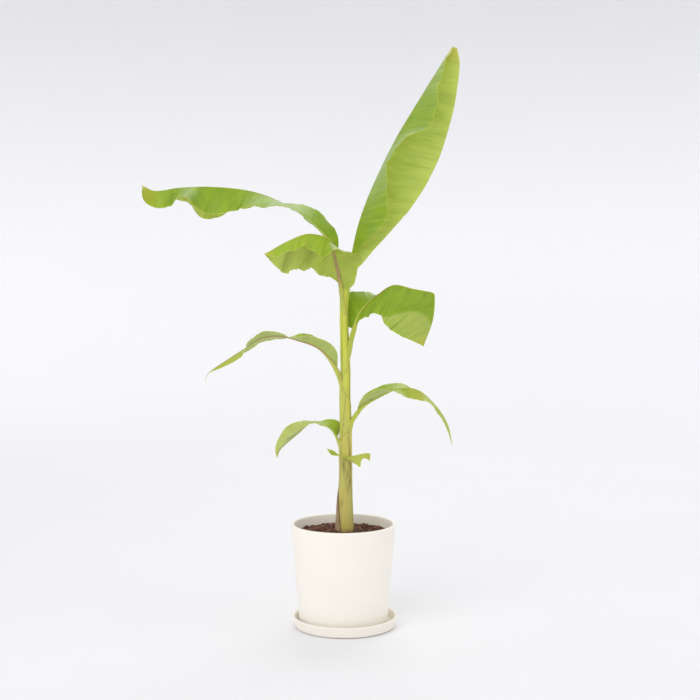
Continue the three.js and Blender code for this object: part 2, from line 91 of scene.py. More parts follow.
LEAVES[4] = dict(
    heading=0, bare=76, grid=(220, 40), pleats=(1.1, 13, 41), wave=(2, 44), rib=2.8, stalk=6.2, clasp=2.4,
    faded=True, creases=[(0.645, -0.43, 5, 0.09)],
    spine=[[3, 0, 500], [6.5, 0, 515], [9.5, -0.5, 530], [12, -1, 548], [16, -2, 565], [28, -4.5, 599],
           [44.8, -7, 621], [60, -10, 635], [94, -15, 657], [133, -22, 650], [158, -27, 645.5],
           [169, -29.5, 642.5], [172, -31, 636], [168, -34, 592], [150, -38, 542]],
    right=dict(
        margin={0: (23, -6, 578), 0.1: (31, -14, 590), 0.2: (43, -22, 597), 0.3: (54, -32, 603),
                0.4: (69, -44, 602), 0.5: (75, -52, 589), 0.6: (83, -56, 579), 0.7: (94, -56, 571),
                0.8: (109, -54, 562), 0.9: (128, -48, 554), 1: (148, -39, 544)}),
    left=dict(
        margin={0: (10, 7, 576), 0.03: (7, 12, 596), 0.07: (6, 19, 622), 0.12: (8, 27, 641),
                0.2: (38, 30, 643), 0.3: (66, 28, 633), 0.4: (85, 18, 616), 0.5: (100, 6, 601),
                0.6: (115, -4, 594), 0.7: (126, -12, 591), 0.8: (133, -18, 582), 0.9: (139, -28, 565),
                1: (148, -36, 544)}))
LEAVES[5] = dict(
    heading=180, bare=50, grid=(200, 28), pleats=(0.5, 10, 51), wave=(0.9, 36), rib=2.7, stalk=6, clasp=2.4,
    spine=[[-1, 0, 452], [-2.5, 0, 469], [-6, -1, 483], [-11, -2, 495], [-23.5, -3.5, 514], [-44, -5, 535],
           [-60, -6.5, 544], [-78, -8, 550], [-105, -10, 558], [-129, -12, 561], [-159, -14, 555],
           [-195, -16, 532], [-220, -18, 516], [-248, -20, 497], [-258, -21, 487], [-261, -22, 476]],
    right=dict(
        angle={0: 30, 0.1: 30, 0.2: 38, 0.26: 36, 0.33: 0, 0.42: -20, 1: -20},
        width={0: 4, 0.08: 18, 0.25: 25, 0.5: 25, 0.7: 19, 0.85: 10, 0.93: 2.5, 1: 0.8}),
    left=dict(
        angle={0: 50, 0.06: 60, 0.14: 50, 0.22: 38, 0.29: 20, 0.35: 8, 0.43: 20, 0.52: 28, 0.62: 10,
               0.7: -30, 0.8: -38, 1: -40},
        width={0: 4, 0.07: 24, 0.2: 26, 0.5: 25, 0.7: 19, 0.85: 11, 0.93: 2.5, 1: 0.8}))
LEAVES[6] = dict(
    heading=0, bare=54, grid=(200, 28), pleats=(0.5, 10, 61), wave=(0.9, 36), rib=2.4, stalk=5.2, clasp=2.6,
    spine=[[8, 0, 368], [12.4, 0, 385], [15.5, -0.5, 398], [21.4, -1, 408], [27.7, -2, 417],
           [36.4, -3, 426], [49, -5, 434.5], [62, -6.5, 441], [79, -8, 450], [96, -10, 458],
           [115, -12, 462], [132, -13, 461], [149, -14, 454], [170, -16, 435], [187, -17, 414],
           [200, -18, 388], [207, -18, 353]],
    right=dict(
        angle={0: 45, 0.1: 40, 0.2: 36, 0.28: 10, 0.36: -35, 0.44: -50, 0.52: -40, 0.6: -16, 0.7: -22,
               0.85: -30, 1: -30},
        width={0: 3, 0.08: 22, 0.2: 26, 0.45: 24, 0.65: 19, 0.8: 13, 0.92: 6, 1: 1}),
    left=dict(
        angle={0: 50, 0.1: 44, 0.2: 36, 0.3: 20, 0.4: 0, 0.5: -22, 0.6: -16, 0.8: -20, 1: -30},
        width={0: 3, 0.08: 20, 0.2: 26, 0.45: 24, 0.65: 19, 0.8: 13, 0.92: 6, 1: 1}))
LEAVES[7] = dict(
    heading=180, bare=39, grid=(170, 26), pleats=(0.5, 9, 71), wave=(0.8, 30), rib=1.9, stalk=3.6, clasp=3,
    spine=[[-2, 0, 330], [-5.5, 0, 347], [-9, -0.5, 360], [-14, -2, 371], [-20, -3, 380], [-30, -5, 388],
           [-43, -7, 393], [-56, -9, 396], [-68, -11, 392], [-83, -12, 378], [-98, -13, 365],
           [-111, -14, 354], [-121, -15, 343], [-126, -15, 329]],
    right=dict(
        angle={0: 36, 0.08: 44, 0.16: 32, 0.24: 10, 0.33: 1, 0.45: 26, 0.57: 50, 0.78: 54, 1: 60},
        width={0: 8, 0.06: 24, 0.14: 22, 0.22: 17, 0.32: 15, 0.45: 24, 0.57: 29, 0.72: 25, 0.9: 11, 1: 1},
        sweep=0.2),
    left=dict(
        angle={0: 0, 0.35: 0, 0.57: 18, 0.78: 16, 1: 14},
        width={0: 4, 0.08: 12, 0.25: 18, 0.4: 22, 0.57: 28, 0.72: 25, 0.9: 11, 1: 1}))
LEAVES[8] = dict(
    heading=0, bare=1, grid=(120, 16), pleats=(0.3, 6, 81), wave=(0.3, 18), rib=0.9, stalk=1, clasp=0,
    spine=[[-31, -15, 346], [-20, -17, 340], [-9, -18, 334], [13, -18, 329], [28, -22, 334], [41, -25, 338],
           [51, -25, 338]],
    right=dict(
        angle={0: -60, 0.15: -40, 0.3: -10, 0.5: -20, 0.62: -68, 0.85: -72, 1: -84},
        width={0: 1, 0.15: 8, 0.3: 4, 0.5: 6, 0.6: 12, 0.69: 22, 0.77: 11, 0.87: 9, 1: 14},
        sweep=0),
    left=dict(
        angle={0: 30, 0.35: 20, 0.6: 30, 1: 15},
        width={0: 1, 0.15: 5, 0.3: 2, 0.5: 5, 0.62: 4, 0.8: 2, 1: 1.2},
        sweep=0))

# ------------ mesh helpers


def add_object(name, data):
    obj = bpy.data.objects.new(name, data)
    scene.collection.objects.link(obj)
    return obj


def new_object(name, verts, faces, materials, sharp=None, kinds=None, uv=None):
    """A mesh from points in millimetres, its maps by vertex or by corner; sharp is in degrees."""
    mesh = bpy.data.meshes.new(name)
    mesh.from_pydata([tuple(v) for v in np.asarray(verts) * MM], [], faces)
    for material in materials:
        mesh.materials.append(material)
    if kinds is not None:
        mesh.polygons.foreach_set("material_index", np.asarray(kinds, np.int32))
    mesh.shade_smooth()
    if sharp is not None:
        mesh.set_sharp_from_angle(angle=math.radians(sharp))
    corner = np.empty(len(mesh.loops), np.int32)
    mesh.loops.foreach_get("vertex_index", corner)
    for layer, values in (uv or {}).items():
        values = np.asarray(values, np.float32)
        if len(values) == len(verts):
            values = values[corner]
        mesh.uv_layers.new(name=layer, do_init=False).uv.foreach_set("vector", values.ravel())
    mesh.update()
    return add_object(name, mesh)


def mask(obj, name, values):
    """A number for each vertex, which the materials read."""
    layer = obj.data.attributes.new(name, "FLOAT", "POINT")
    layer.data.foreach_set("value", np.asarray(values, np.float32).ravel())


def ring_faces(rows, columns, first=0):
    """Quads between closed rings, wound so that they face out of an upward stack."""
    faces = []
    for i in range(rows - 1):
        for j in range(columns):
            a = first + i * columns + j
            b = first + i * columns + (j + 1) % columns
            faces.append((a, b, b + columns, a + columns))
    return faces


def tube_faces(rows, columns, first=0):
    """The faces of a stack of rings, closed at both ends."""
    last = first + (rows - 1) * columns
    return [*ring_faces(rows, columns, first), tuple(reversed(range(first, first + columns))),
            tuple(range(last, last + columns))]


def smoothstep(low, high, x):
    t = np.clip((x - low) / (high - low), 0, 1)
    return t * t * (3 - 2 * t)


def hump(x, middle, width):
    return np.exp(-(((x - middle) / width) ** 2))


# ------------ curves of a leaf

SPINE_SAMPLES = 600
TANGENT_REACH = 5  # how far ahead and behind a spine's direction is measured
# Sums of sines that make the folds and the waves of a leaf: (share of their length, weight).
FOLD_PARTS = ((1, 0.55), (0.618, 0.3), (1.71, 0.5), (2.9, 0.5))
WAVE_PARTS = ((1, 0.7), (0.57, 0.35), (1.6, 0.5))
SWEEP = 0.25  # how far a half's side veins lean towards the tip, where it doesn't say
BLADE_THICKNESS = 0.5
GROOVE = 0.3  # depth of the channel over a midrib, as a share of its half width
FULL_FOLDS = 26  # half a blade this wide has its folds at full height
CROWDING = 0.75  # how closely the columns of a blade crowd at the midrib and at the margin


def through(stations, place):
    """Smooth values through stations {place: values}: a Hermite curve with chord slopes."""
    x = np.array(list(stations), float)
    y = np.array([np.atleast_1d(values) for values in stations.values()], float)
    place = np.clip(np.atleast_1d(place), x[0], x[-1])
    last = len(x) - 1
    ahead, behind = np.r_[1:last + 1, last], np.r_[0, 0:last]
    slope = (y[ahead] - y[behind]) / (x[ahead] - x[behind])[:, None]
    k = np.clip(np.searchsorted(x, place, side="right") - 1, 0, last - 1)
    h = (x[k + 1] - x[k])[:, None]
    t = (place - x[k])[:, None] / h
    near = (2 * t**3 - 3 * t**2 + 1) * y[k] + (t**3 - 2 * t**2 + t) * h * slope[k]
    far = (3 * t**2 - 2 * t**3) * y[k + 1] + (t**3 - t**2) * h * slope[k + 1]
    return near + far


def unit(v):
    return v / np.maximum(np.linalg.norm(v, axis=-1, keepdims=True), 1e-12)


def run_of(points):
    """How far along a line of points each of them lies."""
    return np.r_[0, np.cumsum(np.linalg.norm(np.diff(points, axis=0), axis=1))]


class Spine:
    """A leaf's midrib, from its root inside the stem, at place 0, to the tip, at place 1."""

    def __init__(self, leaf):
        points = np.array(leaf["spine"], float)
        chord = run_of(points)
        self.curve = through(dict(zip(chord, points)), np.linspace(0, chord[-1], SPINE_SAMPLES))
        run = run_of(self.curve)
        self.length = run[-1]
        self.at = run / self.length
        self.start = leaf["bare"] / self.length
        heading = math.radians(leaf["heading"])
        self.side = np.array([math.sin(heading), -math.cos(heading), 0])

    def point(self, place):
        return np.stack([np.interp(place, self.at, self.curve[:, i]) for i in range(3)], -1)

    def frame(self, place):
        """Points of the spine, with its directions along, to the right half's side, and up."""
        reach = TANGENT_REACH / self.length
        point = self.point(place)
        ahead = self.point(np.clip(place + reach, 0, 1))
        behind = self.point(np.clip(place - reach, 0, 1))
        along = unit(ahead - behind)
        side = unit(self.side - (along @ self.side)[:, None] * along)
        return point, along, side, np.cross(side, along)


def half_surface(spine, half, sign, place, across):
    """Points [place, across, xyz] of one half of a blade, and its width at each place."""
    point, along, side, up = spine.frame(spine.start + (1 - spine.start) * place)
    if "margin" in half:
        reach = through(half["margin"], place) - point
        surface = point[:, None] + across[None, :, None] * reach[:, None]
        return surface, np.linalg.norm(reach, axis=1)
    angles = np.radians(through(half["angle"], place))
    width = through(half["width"], place)[:, 0]
    inner, outer = angles[:, 0], angles[:, -1]
    rows = [point]
    for k in range(1, len(across)):
        middle = (across[k] + across[k - 1]) / 2
        angle = (inner + (outer - inner) * middle)[:, None]
        step = sign * np.cos(angle) * side + np.sin(angle) * up + half.get("sweep", SWEEP) * along
        rows.append(rows[-1] + step * ((across[k] - across[k - 1]) * width)[:, None])
    return np.stack(rows, 1), width


def normals_of(surface):
    down = np.gradient(surface, axis=0)
    across = np.gradient(surface, axis=1)
    return unit(np.cross(across, down))


def folds(distance, across, leaf, sign, seed):
    """Height of the folds, waves and creases of a half, at distances along it and across it."""
    rng = np.random.default_rng(seed)
    height, length, _ = leaf["pleats"]
    swell, period = leaf["wave"]
    x = distance[:, None]
    r = across[None, :]
    shape = 0
    for share, weight in FOLD_PARTS:
        turn = rng.uniform(0, math.tau)
        fold = np.sin(math.tau * x / (length * share) + turn)
        if leaf.get("crumple"):
            fold = np.arcsin(0.985 * fold) / 1.4
        shape = shape + weight * fold
    pleats = height * shape * r**1.3 * (1.15 - 0.35 * r)
    wave = 0
    for share, weight in WAVE_PARTS:
        turn = rng.uniform(0, math.tau)
        wave = wave + weight * np.sin(math.tau * (x / (period * share) + 0.12 * sign * r) + turn)
    place = x / distance[-1]
    crease = 0
    for at, lean, height, width in leaf.get("creases", ()) if sign > 0 else ():
        away = np.abs(place - at - lean * (r - 0.5)) / width
        crease = crease + height * np.clip(1 - away, 0, 1) * r**0.5 * (1 - 0.8 * r**3)
    taper = smoothstep(0, 0.12, place) * smoothstep(1, 0.9, place)
    return (pleats + swell * wave * r**2.2 + crease) * taper


def rib_width(leaf, place):
    """Half width of the midrib in millimetres, along the blade."""
    return leaf["rib"] * (1 - np.clip(place, 0, 1)) ** 0.75 * 0.85 + 0.35


# ------------ blades, stalks and midribs


def sheet(surface, normal):
    """A thin closed sheet about a surface: its vertices, its faces, and its four rims' quads."""
    rows, columns = surface.shape[:2]
    count = rows * columns
    upper = surface + normal * BLADE_THICKNESS / 2
    lower = surface - normal * BLADE_THICKNESS / 2
    verts = np.concatenate([upper.reshape(-1, 3), lower.reshape(-1, 3)])
    index = np.arange(count).reshape(rows, columns)
    a, b = index[:-1, :-1].ravel(), index[:-1, 1:].ravel()
    c, d = index[1:, 1:].ravel(), index[1:, :-1].ravel()
    upside = np.stack([a, b, c, d], 1)
    downside = np.stack([a, d, c, b], 1) + count
    rims = []
    for line, flip in ((index[:, 0], True), (index[:, -1], False),
                       (index[0], False), (index[-1], True)):
        p, q = line[:-1], line[1:]
        if flip:
            p, q = q, p
        rims.append(np.stack([q, p, p + count, q + count], 1))
    return verts, np.concatenate([upside, downside, *rims]), rims


JOIN_BEFORE, JOIN_AFTER = 12, 45  # the stalk turns into the rib about the start of the blade
VEIN_SCALE = 0.01  # the map that the side veins and the fibres follow, to a millimetre
MAP_SPAN = (0.01, 0.98)  # what the two sides of a blade take up of the map's height
# Thin strips of the map for a blade's four rims: the axis across the strip, its place, its width.
RIM_STRIPS = ((0, 0.992, 0.003), (0, 0.996, 0.003), (1, 0.985, 0.004), (1, 0.991, 0.004))


def flat_map(rows, columns, faces, rims):
    """The flat map of a blade: upper side, lower side beside it, and a strip for each rim."""
    u = np.tile(np.linspace(0.01, 0.49, columns), rows)
    w = np.linspace(*MAP_SPAN, rows).repeat(columns)
    flat = np.concatenate([np.stack([u, w], 1), np.stack([1 - u, w], 1)])
    corners = flat[faces.ravel()].reshape(-1, 4, 2)
    first = len(faces) - sum(map(len, rims))
    for quads, (axis, low, wide) in zip(rims, RIM_STRIPS):
        block = corners[first:first + len(quads)]
        t = np.linspace(*MAP_SPAN, len(quads) + 1)
        block[:, :, axis] = low + np.array([0, 0, wide, wide])
        block[:, :, 1 - axis] = np.stack([t[1:], t[:-1], t[:-1], t[1:]], 1)
        first += len(quads)
    return corners.reshape(-1, 2)


def build_blade(number, leaf, top, under):
    rows, steps = leaf["grid"]
    spine = Spine(leaf)
    place = np.linspace(0, 1, rows)
    even = np.linspace(0, 1, steps + 1)
    across = even - CROWDING * np.sin(math.tau * even) / math.tau
    distance = place * spine.length * (1 - spine.start)
    halves = []
    for key, sign in (("left", -1), ("right", 1)):
        surface, width = half_surface(spine, leaf[key], sign, place, across)
        lift = folds(distance, across, leaf, sign, leaf["pleats"][2] + sign)
        lift = lift * np.minimum(1, width / FULL_FOLDS)[:, None]
        halves.append((surface + normals_of(surface) * sign * lift[..., None], width, lift))
    (left, left_width, left_lift), (right, right_width, right_lift) = halves
    surface = np.concatenate([left[:, ::-1], right[:, 1:]], 1)
    share = np.r_[-across[::-1], across[1:]][None, :]
    sideways = np.concatenate(
        [-left_width[:, None] * across[::-1], right_width[:, None] * across[1:]], 1)
    normal = normals_of(surface)
    rib = rib_width(leaf, place)[:, None]
    groove = GROOVE * rib * np.exp(-((sideways / rib) ** 2))
    verts, faces, rims = sheet(surface - normal * groove[..., None], normal)
    columns = surface.shape[1]
    side = (rows - 1) * (columns - 1)
    kinds = np.zeros(len(faces))
    kinds[side:2 * side] = 1
    veins = np.stack([sideways.ravel(), distance.repeat(columns)], 1) * VEIN_SCALE
    obj = new_object(f"leaf_{number}_blade", verts, faces.tolist(), [top, under], 60, kinds,
                     {"OFBake": flat_map(rows, columns, faces, rims),
                      "veins": np.tile(veins, (2, 1))})

    def both(values):
        return np.tile(np.broadcast_to(values, (rows, columns)).ravel(), 2)

    mask(obj, "rib", both(1 - smoothstep(0.55, 1.05, np.abs(sideways) / rib)))
    # Painted shade: the hollows of the folds, on whichever side of the blade they open, are darkened in
    # colour, fully on a crumpled leaf.
    raised = np.concatenate([left_lift[:, ::-1], right_lift[:, 1:]], 1) / (2.2 * leaf["pleats"][0])
    valley_shade_share = np.concatenate([-raised.ravel(), raised.ravel()])
    mask(obj, "painted_valley_shade", np.clip(valley_shade_share, 0, 1) * (1 if leaf.get("crumple") else 0.4))
    faded = np.zeros((rows, columns))
    if leaf.get("faded"):
        at, lean = leaf["creases"][0][:2]
        past = place[:, None] - at - lean * (share - 0.5)
        faded = smoothstep(-0.005, 0.02, past) * smoothstep(-0.02, 0.05, share)
    mask(obj, "faded", both(faded))
    reach = np.where(share < 0, left_width[:, None], right_width[:, None])
    from_edge = reach * (1 - np.abs(share))
    mask(obj, "edge", both(hump(from_edge, 0, 0.9)))
    mask(obj, "out", both(np.abs(share)))
    mask(obj, "place", both(place[:, None]))
    nodes = [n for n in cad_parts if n.startswith(f"leaf_{number}_blade")]
    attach(obj, "root")
    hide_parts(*nodes)


def build_rib(number, leaf, material):
    """Stalk and midrib in one: a channelled stalk that runs on as the rib under the blade."""
    spine = Spine(leaf)
    rows = leaf["grid"][0] // 2 + 60
    place = np.linspace(0, 1, rows)
    point, along, side, up = spine.frame(place)
    start = spine.start
    onward = np.clip((place - start) / (1 - start), 0, 1)
    blade_half = rib_width(leaf, onward)
    stalk = leaf["stalk"]
    joined = smoothstep(start - JOIN_BEFORE / spine.length, start + JOIN_AFTER / spine.length, place)
    foot = 1 - smoothstep(0, start * 0.8, place)
    half = (stalk + foot * leaf["clasp"]) * (1 - joined) + blade_half * joined
    depth = (stalk * 1.15 - foot * stalk * 0.2) * (1 - joined) + blade_half * 1.05 * joined
    channel = 1 - 0.9 * joined
    rise = 0.95 - 1.07 * joined
    section = [(math.cos(t), -math.sin(t) * depth) for t in np.linspace(0, math.pi, 13)]
    last = len(section) - 1
    for x in (-0.9, -0.72, -0.45, -0.2, 0, 0.2, 0.45, 0.72, 0.9):
        height = rise * depth * (1 - abs(x) ** 6) * 0.9 - channel * depth * (1 - (x / 0.9) ** 2)
        section.append((x, height))
    columns = len(section)
    ring = [point + side * (x * half)[:, None] + up * y[:, None] for x, y in section]
    verts = np.stack(ring, 1).reshape(-1, 3)
    faces = tube_faces(rows, columns)
    turn = np.tile(np.linspace(0, 1, columns), rows)
    away = place.repeat(columns)
    obj = new_object(f"leaf_{number}_rib", verts, faces, [material], 50, None,
                     {"veins": np.stack([turn, away * spine.length * VEIN_SCALE], 1)})
    brim = np.zeros(columns)
    brim[[0, last, last + 1, columns - 1]] = 1
    brim[[1, last - 1, last + 2, columns - 2]] = 0.35
    mask(obj, "brim", np.tile(brim, rows))
    mask(obj, "place", away)
    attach(obj, "root")
    node = f"leaf_{number}_petiole"
    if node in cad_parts:
        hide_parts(node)


# ------------ materials


class Shade:
    """A material's nodes, with short ways to add the ones that are used here."""

    def __init__(self, name, roughness, shine=0.5):
        self.material = bpy.data.materials.new(name)
        self.material.use_nodes = True
        self.tree = self.material.node_tree
        self.tree.nodes.clear()
        out = self.node("ShaderNodeOutputMaterial")
        self.surface = self.node("ShaderNodeBsdfPrincipled")
        self.surface.inputs["Roughness"].default_value = roughness
        self.surface.inputs["Specular IOR Level"].default_value = shine
        self.link(self.surface.outputs["BSDF"], out.inputs["Surface"])

    def node(self, kind, **settings):
        made = self.tree.nodes.new(kind)
        for key, value in settings.items():
            setattr(made, key, value)
        return made

    def link(self, a, b):
        self.tree.links.new(a, b)

    def put(self, value, socket):
        if isinstance(value, bpy.types.NodeSocket):
            self.link(value, socket)
        else:
            socket.default_value = value

    def maths(self, operation, a, b):
        made = self.node("ShaderNodeMath", operation=operation)
        self.put(a, made.inputs[0])
        self.put(b, made.inputs[1])
        return made.outputs[0]

    def times(self, a, b):
        return self.maths("MULTIPLY", a, b)

    def scaled(self, value, factor, base):
        """value times factor plus base."""
        return self.maths("ADD", self.times(value, factor), base)

    def mix(self, share, a, b):
        made = self.node("ShaderNodeMix", data_type="RGBA")
        self.put(share, made.inputs["Factor"])
        for value, socket in ((a, made.inputs["A"]), (b, made.inputs["B"])):
            self.put((*value, 1) if isinstance(value, tuple) else value, socket)
        return made.outputs["Result"]

    def cover(self, share, colour):
        """Lay a colour over what is there, as far as share."""
        self.colour = self.mix(share, self.colour, colour)

    def tint(self, share, amount, colour):
        self.cover(self.times(share, amount), colour)

    def attribute(self, name):
        return self.node("ShaderNodeAttribute", attribute_name=name).outputs["Fac"]

    def place(self, scale, layer=None):
        """Coordinates stretched by scale: the vein map's, or the object's own."""
        if layer:
            source = self.node("ShaderNodeUVMap", uv_map=layer).outputs["UV"]
        else:
            source = self.node("ShaderNodeTexCoord").outputs["Object"]
        made = self.node("ShaderNodeMapping")
        made.inputs["Scale"].default_value = scale
        self.link(source, made.inputs["Vector"])
        return made.outputs["Vector"]

    def noise(self, stretch, detail, layer=None):
        """Noise over coordinates stretched along each axis."""
        made = self.node("ShaderNodeTexNoise")
        made.inputs["Scale"].default_value = 1.0
        made.inputs["Detail"].default_value = detail
        made.inputs["Roughness"].default_value = 0.55
        self.link(self.place(stretch, layer), made.inputs["Vector"])
        return made.outputs["Fac"]

    def band(self, value, low, high):
        """0 short of low and 1 past high, whichever of the two is greater."""
        made = self.node("ShaderNodeMapRange", interpolation_type="SMOOTHSTEP")
        self.put(value, made.inputs["Value"])
        made.inputs["From Min"].default_value = low
        made.inputs["From Max"].default_value = high
        return made.outputs["Result"]

    def bump(self, height, distance, strength):
        made = self.node("ShaderNodeBump")
        made.inputs["Distance"].default_value = distance
        made.inputs["Strength"].default_value = strength
        self.link(height, made.inputs["Height"])
        self.link(made.outputs["Normal"], self.surface.inputs["Normal"])

    def finish(self, roughness=None):
        self.put(self.colour, self.surface.inputs["Base Color"])
        if roughness is not None:
            self.put(roughness, self.surface.inputs["Roughness"])
        return self.material

    def glow_through(self, weight, radius, scale):
        self.surface.inputs["Subsurface Weight"].default_value = weight
        self.surface.inputs["Subsurface Radius"].default_value = radius
        self.surface.inputs["Subsurface Scale"].default_value = scale


def darker(colour, share):
    return tuple(share * c for c in colour)


# Colours are linear.
BLEACHED = (0.43, 0.49, 0.11)  # a faded part of a leaf
SPECK = (0.16, 0.09, 0.03)


def leaf_material(name, dark, light, rib, edge, tip, roughness, spots, outer=None):
    """Leaf tissue: side veins run along the first axis of the vein map."""
    s = Shade(name, roughness, 0.35)
    broad = s.noise((1.6, 5.5, 1), 2, "veins")
    veins = s.noise((3.5, 24, 1), 3, "veins")
    fine = s.noise((5, 110, 1), 2, "veins")
    speck = s.noise((42, 42, 42), 1)
    place = s.attribute("place")
    tone = s.maths("ADD", s.times(broad, 0.55), s.times(veins, 0.45))
    s.colour = s.mix(s.band(tone, 0.25, 0.75), dark, light)
    if outer:
        s.tint(s.band(place, 0.28, 0.5), 0.75, outer)
    s.tint(s.attribute("faded"), 0.7, BLEACHED)
    # Painted shade in the hollows of the folds.
    s.tint(s.attribute("painted_valley_shade"), 0.55, darker(dark, 0.62))
    s.tint(s.band(s.attribute("out"), 0.75, 1.0), 0.25, light)
    s.tint(s.band(fine, 0.52, 0.7), 0.1, light)
    s.tint(s.band(speck, 0.78, 0.82), spots, SPECK)
    s.tint(s.band(place, 0.89, 1.0), 0.7, tip)
    s.tint(s.attribute("edge"), 0.75, edge)
    s.cover(s.attribute("rib"), rib)
    s.bump(s.maths("ADD", s.times(veins, 0.8), s.times(fine, 0.25)), 0.0004, 0.35)
    s.glow_through(0.5, (1.0, 1.0, 0.3), 0.0018)
    return s.finish(s.scaled(broad, 0.18, roughness - 0.09))


def stalk_material(name, base, low, brim, outer=None, span=(0.14, 0.34, 2, 3)):
    """Stalk and midrib, with fibres along them. span: where outer sets in, and where it fades."""
    s = Shade(name, 0.42)
    grain = s.noise((26, 3, 1), 3, "veins")
    patches = s.noise((2, 2.5, 1), 2, "veins")
    place = s.attribute("place")
    far = s.times(s.band(place, span[0], span[1]), s.band(place, span[3], span[2]))
    s.colour = s.mix(s.band(patches, 0.35, 0.65), base, low)
    if outer:
        s.tint(far, 0.9, outer)
    s.tint(s.band(grain, 0.5, 0.7), 0.25, darker(base, 0.62))
    s.tint(s.attribute("brim"), s.scaled(far, 0.4, 0.25), brim)
    s.bump(grain, 0.0004, 0.4)
    s.glow_through(0.25, (1.0, 1.0, 0.4), 0.0015)
    return s.finish()


UPPER = dict(rib=(0.5, 0.58, 0.09), roughness=0.4, spots=0.5)
UNDER = dict(rib=(0.43, 0.45, 0.11), tip=(0.5, 0.45, 0.08), roughness=0.52, spots=0.35)
LOW_UPPER = dict(
    dark=(0.255, 0.375, 0.03), light=(0.38, 0.48, 0.06), rib=(0.52, 0.58, 0.12),
    edge=(0.55, 0.6, 0.15), tip=(0.42, 0.38, 0.07), spots=0.5)
GREEN_TOP = leaf_material(
    "leaf_top", dark=(0.19, 0.315, 0.012), light=(0.3, 0.43, 0.022), edge=(0.52, 0.58, 0.11),
    tip=(0.5, 0.45, 0.04), **UPPER)
GREEN_UNDER = leaf_material(
    "leaf_under", dark=(0.345, 0.43, 0.06), light=(0.465, 0.545, 0.098),
    edge=(0.52, 0.55, 0.13), **UNDER)
BENT_TOP = leaf_material(
    "bent_leaf_top", dark=(0.22, 0.345, 0.012), light=(0.33, 0.46, 0.022),
    edge=(0.56, 0.62, 0.1), tip=(0.55, 0.6, 0.05), outer=(0.38, 0.52, 0.025), **UPPER)
# A lighter copy of the underside, for leaf 1 alone: painted light, for the light that shines through it
# from behind.
LIT_UNDER = leaf_material(
    "lit_leaf_under", dark=(0.395, 0.495, 0.095), light=(0.53, 0.625, 0.15),
    edge=(0.56, 0.6, 0.16), **UNDER)
LOW_TOP = leaf_material(
    "low_leaf_top", roughness=0.38, outer=(0.44, 0.47, 0.085), **LOW_UPPER)
LOW_UNDER = leaf_material(
    "low_leaf_under", dark=(0.34, 0.415, 0.11), light=(0.45, 0.52, 0.17),
    rib=(0.5, 0.5, 0.17), edge=(0.58, 0.6, 0.22), tip=(0.45, 0.4, 0.12), roughness=0.5,
    spots=0.35)
FADED_TOP = leaf_material(
    "faded_leaf_top", roughness=0.42, outer=(0.51, 0.55, 0.2), **LOW_UPPER)

LIME_STALK = dict(base=(0.54, 0.6, 0.07), low=(0.48, 0.56, 0.06))
PINK_STALK = dict(base=(0.54, 0.58, 0.08), low=(0.48, 0.5, 0.08), brim=(0.33, 0.15, 0.07),
                  outer=(0.46, 0.28, 0.14))
DULL_RIB = stalk_material("rib_dull", brim=(0.33, 0.24, 0.05), outer=(0.38, 0.3, 0.06),
                          span=(0.24, 0.36, 0.46, 0.56), **LIME_STALK)
LIME_RIB = stalk_material("rib_lime", brim=(0.38, 0.32, 0.05), **LIME_STALK)
PINK_RIB = stalk_material("rib_pink", **PINK_STALK)
BENT_RIB = stalk_material("rib_bent", span=(0.12, 0.22, 0.34, 0.44), **PINK_STALK)


def stem_material():
    s = Shade("pseudostem", 0.4)
    grain = s.noise((240, 240, 9), 3)
    patches = s.noise((38, 38, 12), 3)
    speck = s.noise((120, 120, 70), 2)
    fleck = s.noise((210, 210, 60), 2)
    height = s.attribute("height")
    bruise = s.attribute("bruise")
    straw, lime, grey_green, olive = (
        (0.56, 0.48, 0.11), (0.62, 0.66, 0.065), (0.45, 0.5, 0.12), (0.38, 0.37, 0.07))
    fold_shade, dry_edge, brown_speck = (0.33, 0.32, 0.085), (0.27, 0.15, 0.045), (0.15, 0.1, 0.035)
    dark_green, red_brown, damp_brown = (0.19, 0.2, 0.035), (0.16, 0.075, 0.025), (0.2, 0.12, 0.05)
    s.colour = s.mix(s.band(height, 0.1, 0.75), straw, lime)
    s.tint(s.band(patches, 0.45, 0.68), 0.45, grey_green)
    s.tint(s.band(grain, 0.52, 0.72), 0.28, olive)
    s.cover(s.attribute("shade"), fold_shade)
    s.cover(s.attribute("seam"), dry_edge)
    low = s.times(s.band(height, 0.72, 0.3), 0.6)
    s.tint(s.band(speck, 0.7, 0.76), low, brown_speck)
    s.tint(bruise, s.band(patches, 0.2, 0.5), dark_green)
    s.tint(bruise, s.band(fleck, 0.44, 0.6), red_brown)
    s.cover(s.attribute("foot"), damp_brown)
    s.bump(grain, 0.0005, 0.45)
    s.glow_through(0.2, (1.0, 0.9, 0.4), 0.002)
    return s.finish()


def dry_material():
    s = Shade("dry_sheath", 0.75)
    fibres = s.noise((420, 420, 14), 4)
    patches = s.noise((60, 60, 24), 3)
    brown, dark_brown, pale_fibre = (0.45, 0.33, 0.175), (0.33, 0.2, 0.105), (0.54, 0.42, 0.25)
    torn_edge = (0.13, 0.06, 0.03)
    s.colour = s.mix(s.band(patches, 0.35, 0.65), brown, dark_brown)
    s.tint(s.band(fibres, 0.48, 0.66), 0.6, pale_fibre)
    s.cover(s.attribute("brim"), torn_edge)
    s.bump(fibres, 0.0012, 0.7)
    return s.finish()


def glaze_material(name, base, shade):
    s = Shade(name, 0.52)
    cloud = s.noise((14, 14, 20), 3)
    grit = s.noise((900, 900, 900), 2)
    rings = s.noise((5, 5, 160), 2)
    s.colour = base
    s.tint(s.band(cloud, 0.3, 0.75), 0.25, shade)
    s.tint(s.band(grit, 0.66, 0.74), 0.25, darker(shade, 0.8))
    s.bump(s.maths("ADD", s.times(grit, 0.3), s.times(rings, 0.7)), 0.0004, 0.3)
    s.surface.inputs["Coat Weight"].default_value = 0.12
    s.surface.inputs["Coat Roughness"].default_value = 0.35
    return s.finish(s.scaled(cloud, 0.2, 0.42))


